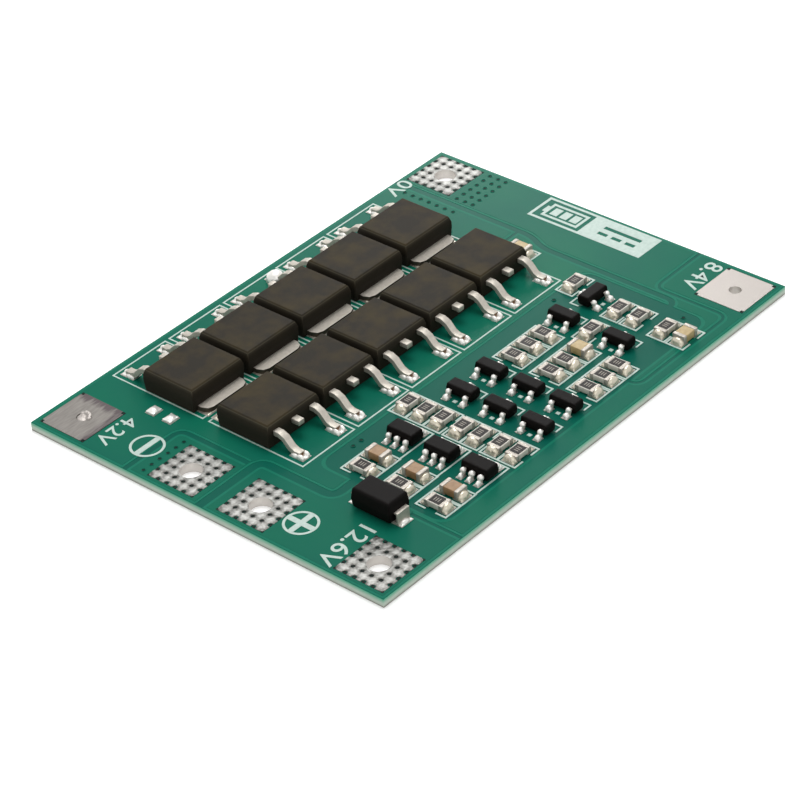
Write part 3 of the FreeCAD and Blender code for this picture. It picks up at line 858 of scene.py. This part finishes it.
for low, high in solids_of("resistor_bodies"):
    middle = (low + high) / 2
    for pattern, found in ((glass_pad, pads), (strokes, marks)):
        copy = repeated(pattern, middle.x, middle.y, turn_for(high - low))
        copy.location.z = high.z * MM
        found.append(copy)
bpy.data.objects.remove(glass_pad)
bpy.data.objects.remove(strokes)
black_glass, *_ = grained("black resistor glass", "#0F0906", "#1B130E", 0.2, 0.4, specular=0.2)
rest_on_root(joined(pads, "resistor_glass"), black_glass)
grey_ink, *_ = grained("pale marking ink", "#7C756B", "#9C958B", 0.1, 0.6)
rest_on_root(joined(marks, "resistor_strokes"), grey_ink)

# Chip capacitors are ceramic fired in layers, with the same plated ends. It is a satin brown with a faint
# mottle, and those of another value, on the right half of the board, are a paler tan.
mottle_size = 0.4
fired_ceramic, tree, shader = surface("fired brown ceramic", "#8A6A48", 0.45)
places = node(tree, "TexCoord", {}).outputs["Object"]
mottle = node(tree, "TexNoise", {"Vector": places, "Scale": 1 / (mottle_size * MM), "Detail": 3})
brown = node(tree, "Mix", {0: mottle, 6: linear("#7A5A3A"), 7: linear("#A98760")}, data_type="RGBA")
tan = node(tree, "Mix", {0: mottle, 6: linear("#9C8352"), 7: linear("#C8B283")}, data_type="RGBA")
along = node(tree, "SeparateXYZ", {"Vector": places}).outputs["X"]
is_right = node(tree, "Math", {0: along, 1: 0.0}, operation="GREATER_THAN")
tone = node(tree, "Mix", {0: is_right, 6: brown, 7: tan}, data_type="RGBA")
feed(tree, shader, {"Base Color": tone})
capacitor_edge, chip_end_edge = 0.06, 0.05
softened("capacitor_bodies", capacitor_edge, fired_ceramic)
for name in ("resistor_ends", "capacitor_ends"):
    softened(name, chip_end_edge, chip_end_plating)

# Solder is printed as paste and melted, so that it wets each land and gathers in a rounded heap against the
# metal that stands on it. It is a bright, uneven mirror, and duller beside the chips, where it is thin.
bright_solder, *_ = grained("bright reflowed solder", "#EBE8E1", "#F6F4F0", 0.35, 0.27, 0.4, relief=0.03)
dull_solder, *_ = grained("solder at chip ends", "#C2B9A5", "#D9D3C2", 0.35, 0.27, 0.6, relief=0.03)
puddle_margin, puddle_height, puddle_sink = 0.06, 0.06, 0.06
heap_offset, heap_reach = 0.1, 0.9
flank_radius, flank_climb = 0.24, 0.8
lead_shelf = 0.26
touching = 0.02


def lump(x, y, z, dx, dy, dz):
    """An ellipsoid about x, y, z with these half sizes."""
    made = begun(bpy.ops.mesh.primitive_uv_sphere_add, segments=14, ring_count=9, radius=1,
                 location=(x * MM, y * MM, z * MM))
    made.scale = (dx * MM, dy * MM, dz * MM)
    return settle(made)


def solder_mound(land, metal, climb, heap_share, flanks, knuckle, far_share):
    """Solder on one land: a puddle, and a heap as high as climb against the outer end of the metal, lower by
    far_share where that faces right or back. A power foot has flanks along it, and two heaps where it faces
    front. A small lead has a bead on its upper bend, as wide as knuckle."""
    land_low, land_high = land
    low, high = Vector(map(max, land_low, metal[0])), Vector(map(min, land_high, metal[1]))
    middle, size = (low + high) / 2, high - low
    out = (land_low + land_high) / 2 - middle
    axis = 1 if abs(out.y) > abs(out.x) else 0
    across = 1 - axis
    if out.x + out.y > 0:
        climb *= far_share
    end, edge = (high, land_high) if out[axis] > 0 else (low, land_low)
    reach = edge[axis] - end[axis]
    top = land_high.z

    def beside(along, side, half_along, half_across, height):
        """A lump at a place along and across the metal, with its half sizes in those directions."""
        place, half = Vector((0, 0)), Vector((0, 0))
        place[axis], place[across] = along, side[across]
        half[axis], half[across] = half_along, half_across
        return lump(place.x, place.y, top, half.x, half.y, height)

    parts = [slab(land_low.x + puddle_margin, land_high.x - puddle_margin, land_low.y + puddle_margin,
                  land_high.y - puddle_margin, top - puddle_sink, top + puddle_height)]
    for side in (low, high) if flanks and out.y < 0 else (middle,):
        parts.append(beside(end[axis] + reach * heap_offset, side, abs(reach) * heap_reach,
                            size[across] * heap_share, climb))
    for side in (low, high) if flanks else ():
        parts.append(beside(middle[axis], side, size[axis] / 2, flank_radius, climb * flank_climb))
    if knuckle:
        bend = middle.copy()
        bend[axis] = metal[0][axis] + lead_shelf if out[axis] > 0 else metal[1][axis] - lead_shelf
        parts.append(lump(bend.x, bend.y, metal[1].z - knuckle / 2, knuckle, knuckle, knuckle))
    return joined(parts, "solder_mound")


def stands_on(metal, land):
    """True where a solid's foot rests on a land, both given by their lowest and highest corners."""
    (low, high), (land_low, land_high) = metal, land
    return (low.x < land_high.x and high.x > land_low.x and low.y < land_high.y and high.y > land_low.y
            and abs(low.z - land_high.z) < touching)


def solder_over(lands, metals, climb, heap_share=0.36, flanks=False, knuckle=0, far_share=1):
    """One mound for each land that has metal on it, modelled once for each shape and then copied."""
    patterns = {}
    mounds = []
    for land in lands:
        for metal in metals:
            if stands_on(metal, land):
                low = land[0]
                key = tuple(round(v, 2) for corner in (land[1], *metal) for v in corner - low)
                if key in patterns:
                    first, first_low = patterns[key]
                    mounds.append(repeated(first, *(low - first_low).xy))
                else:
                    first = solder_mound(land, metal, climb, heap_share, flanks, knuckle, far_share)
                    patterns[key] = first, low
                    mounds.append(first)
    return mounds


clouds = bpy.data.textures.new("uneven_solder", "CLOUDS")
clouds.noise_scale = 0.7 * MM
unevenness = 0.12


def wetted(pieces, name, voxel, material):
    """Melts several mounds into one skin: joined, remeshed, smoothed and made a little uneven."""
    made = joined(pieces, name)
    apply(made, "REMESH", mode="VOXEL", voxel_size=voxel * MM)
    apply(made, "SMOOTH", factor=0.5, iterations=4)
    apply(made, "DISPLACE", texture=clouds, texture_coords="LOCAL", strength=unevenness * MM, mid_level=0.5)
    apply(made, "SMOOTH", factor=0.5, iterations=2)
    bpy.ops.object.shade_smooth()
    rest_on_root(made, material)
    return made


lands = solids_of("solder_lands")
chip_ends = solids_of("resistor_ends") + solids_of("capacitor_ends")
beside_chips = solder_over(lands, chip_ends, 0.62, heap_share=0.54, far_share=0.5)
wetted(beside_chips, "chip_solder", 0.06, dull_solder)


def leads_of(kind):
    """The separate solids of all leads of one kind of part."""
    return [solid for name in named(kind, "_leads") for solid in solids_of(name)]


small = solder_over(lands, leads_of("protection"), 0.36, heap_share=0.62, knuckle=0.29)
small += solder_over(lands, leads_of("transistor"), 0.4, heap_share=0.78, knuckle=0.27)
small += solder_over(lands, leads_of("diode"), 0.3)
wetted(small, "small_lead_solder", 0.05, bright_solder)
widest_foot = 2
frames = leads_of("mosfet")
power_feet = [solid for solid in frames if solid[1].x - solid[0].x < widest_foot]
power_tabs = [solid for solid in frames if solid[1].x - solid[0].x > widest_foot]
mounds = solder_over(lands, power_feet, 0.42, heap_share=0.36, flanks=True)

# Two spare lands carry no part, only the heap that their paste melted into
spare_inset, spare_sink, spare_height = 0.05, 0.05, 0.16
spare_share, spare_climb = 0.48, 0.36
metals = chip_ends + frames + leads_of("protection") + leads_of("transistor") + leads_of("diode")
for low, high in [land for land in lands if not any(stands_on(metal, land) for metal in metals)]:
    centre, size = (low + high) / 2, high - low
    mounds.append(slab(low.x + spare_inset, high.x - spare_inset, low.y + spare_inset, high.y - spare_inset,
                       high.z - spare_sink, high.z + spare_height))
    mounds.append(lump(centre.x, centre.y, high.z, size.x * spare_share, size.y * spare_share, spare_climb))

# Excess solder stands in a round heap over one foot in the back row
heap_lift = 0.1
heap_low, heap_high = max(solids_of("solder_joints"), key=lambda box: box[1].z)
centre, size = (heap_low + heap_high) / 2, heap_high - heap_low
mounds.append(lump(centre.x, centre.y, heap_low.z + heap_lift, size.x / 2, size.y / 2, size.z - heap_lift))
power_solder = wetted(mounds, "power_solder", 0.06, bright_solder)
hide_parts("solder_joints")
wetted(solder_over(lands, power_tabs, 0.06), "tab_solder", 0.1, dull_solder)

# Solder from a wire that was taken off fills the hole of the wiped land, and stands in a low arc beside it
plug_radius, plug_sink, plug_height = 0.62, 0.12, 0.14
arc_radius, arc_bead = 0.6, 0.24
land, _ = middle_of("cell_4v2_terminal")
land_top = limits("cell_4v2_terminal")[1].z
left_over = [lump(land.x, land.y, land_top - plug_sink, plug_radius, plug_radius, plug_height)]
for angle, thick in ((-75, 0.12), (-45, 0.2), (-15, 0.24), (15, 0.2), (45, 0.14)):
    turned = Matrix.Rotation(math.radians(angle), 2) @ Vector((arc_radius, 0))
    left_over.append(lump(land.x + turned.x, land.y + turned.y, land_top, arc_bead, arc_bead, thick))
wetted(left_over, "cell_land_solder", 0.05, bright_tin)

# A plain pale table and soft light from above, as in a product photograph. The camera sees the table and
# the room as white, and so do the tin and the solder, which mirror them.
table_width, table_gap, table_glow = 6, 0.02, 0.3


def shows_white(tree):
    """1 for a ray from the camera or mirrored by a piece, and 0 for one that only lights a piece."""
    path = node(tree, "LightPath", {}).outputs
    seen = node(tree, "Math", {0: path["Is Camera Ray"], 1: path["Is Glossy Ray"]}, operation="MAXIMUM")
    return node(tree, "Math", {0: seen, 1: path["Is Transmission Ray"]}, operation="MAXIMUM")


table = begun(bpy.ops.mesh.primitive_plane_add, size=table_width, location=(0, 0, -table_gap * MM))
table.name = "table"
table_paint, tree, shader = surface("white painted table", "#F4F4F3", 0.8)
lift = node(tree, "Math", {0: shows_white(tree), 1: table_glow}, operation="MULTIPLY")
feed(tree, shader, {"Emission Color": linear("#FFFFFF"), "Emission Strength": lift})
coat(table, table_paint)

studio = bpy.data.worlds.new("studio")
bpy.context.scene.world = studio
studio.use_nodes = True
tree = studio.node_tree
strength = node(tree, "MapRange", {"Value": shows_white(tree), "To Min": 0.58, "To Max": 1.0})
feed(tree, tree.nodes["Background"], {"Color": linear("#FFFFFF"), "Strength": strength})

# The place and the width of each lamp are in metres, and its power is in watts
for name, place, size, power in (
    ("far_softbox", (0.05, 0.055, 0.24), 0.14, 0.33),
    ("near_softbox", (-0.2, -0.28, 0.3), 0.22, 0.15),
    ("low_softbox", (0.16, 0.13, 0.085), 0.06, 0.09),
):
    lamp = begun(bpy.ops.object.light_add, type="AREA", location=place)
    lamp.name = name
    lamp.data.size = size
    lamp.data.energy = power
    lamp.rotation_euler = (-Vector(place)).to_track_quat("-Z", "Y").to_euler()

# The camera stands where the photograph was taken from, with a long lens that looks down on one corner. Its
# turns are in degrees, its distance and shift in millimetres, and its focal length in pixels.
camera_azimuth, camera_elevation, camera_roll = (math.radians(turn) for turn in (-46.941, 35.469, -4.073))
camera_distance = 273.515
camera_shift = (1.363, 4.207)
focal_pixels = 3059.241
picture_pixels = 800
sensor = 36.0
back = Vector((math.sin(camera_azimuth) * math.cos(camera_elevation),
               -math.cos(camera_azimuth) * math.cos(camera_elevation), math.sin(camera_elevation)))
level_right = (-back).cross(Vector((0, 0, 1))).normalized()
level_up = level_right.cross(-back)
right = level_right * math.cos(camera_roll) + level_up * math.sin(camera_roll)
up = level_up * math.cos(camera_roll) - level_right * math.sin(camera_roll)
eye = back * camera_distance - right * camera_shift[0] - up * camera_shift[1] + Vector((0, 0, board_top))
camera = begun(bpy.ops.object.camera_add)
turn = Matrix((right, up, back)).transposed().to_4x4()
camera.matrix_world = Matrix.Translation(eye * MM) @ turn
camera.data.sensor_width = sensor
camera.data.lens = focal_pixels / picture_pixels * sensor
camera.data.clip_start = 1 * MM
bpy.context.scene.camera = camera
bpy.context.scene.view_settings.view_transform = "Standard"
